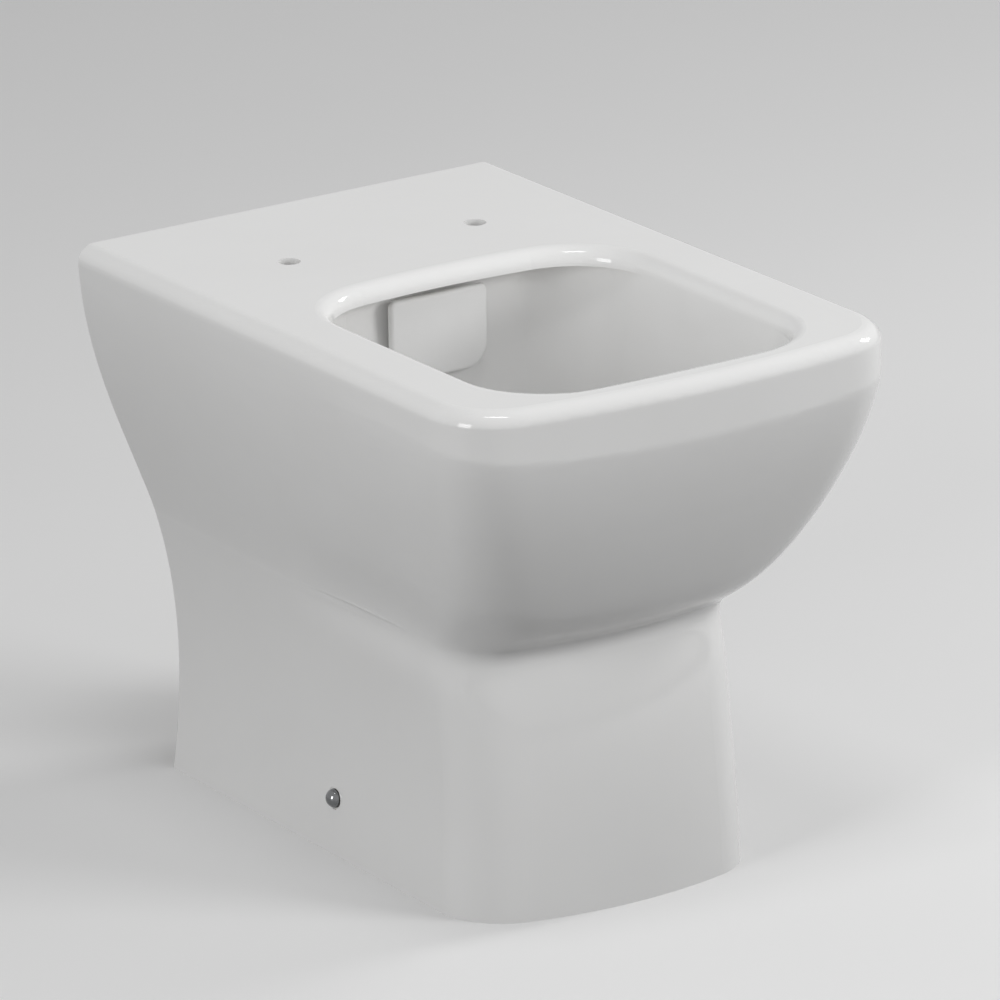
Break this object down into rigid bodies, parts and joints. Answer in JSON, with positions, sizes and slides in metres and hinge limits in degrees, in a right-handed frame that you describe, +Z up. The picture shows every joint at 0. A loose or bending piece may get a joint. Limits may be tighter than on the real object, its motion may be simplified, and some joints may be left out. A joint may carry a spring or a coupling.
{
  "type": "toilet pan",
  "caption": "Floor-standing toilet pan that backs onto the wall, with a rimless squarish bowl, flush deflector, horizontal waste spigot and hidden side fixings under domed caps.",
  "frame": {"origin": "on the floor, under the middle of the pan's box", "axes": "+Z up, the front faces -Y, the back is the wall plane at +Y, +X to the right seen from the front"},
  "size_m": [0.3596, 0.5097, 0.4],
  "materials": {
    "glaze": "glossy white glaze",
    "deflector": "smooth white plastic",
    "seal": "matt black rubber",
    "bracket": "moulded off-white nylon",
    "bush": "moulded white nylon",
    "screw": "stainless steel",
    "insert": "machined brass",
    "cap": "polished chrome"
  },
  "bodies": {
    "pan": {"ceramic_pan": "glaze", "flush_inlet_seal": "seal", "flush_deflector": "deflector", "deflector_ring": "seal", "left_floor_bracket": "bracket", "left_side_bush": "bush", "left_cap_retainer": "bush", "left_side_screw": "screw", "left_bracket_nut": "insert", "right_floor_bracket": "bracket", "right_side_bush": "bush", "right_cap_retainer": "bush", "right_side_screw": "screw", "right_bracket_nut": "insert"},
    "left_cap": {"left_screw_cap": "cap"},
    "right_cap": {"right_screw_cap": "cap"}
  },
  "joints": [
    {"name": "left_cap_pull", "type": "slide", "parent": "pan", "child": "left_cap", "axis": [-1, 0, 0], "range_m": [0, 0.015]},
    {"name": "right_cap_pull", "type": "slide", "parent": "pan", "child": "right_cap", "axis": [1, 0, 0], "range_m": [0, 0.015]}
  ]
}
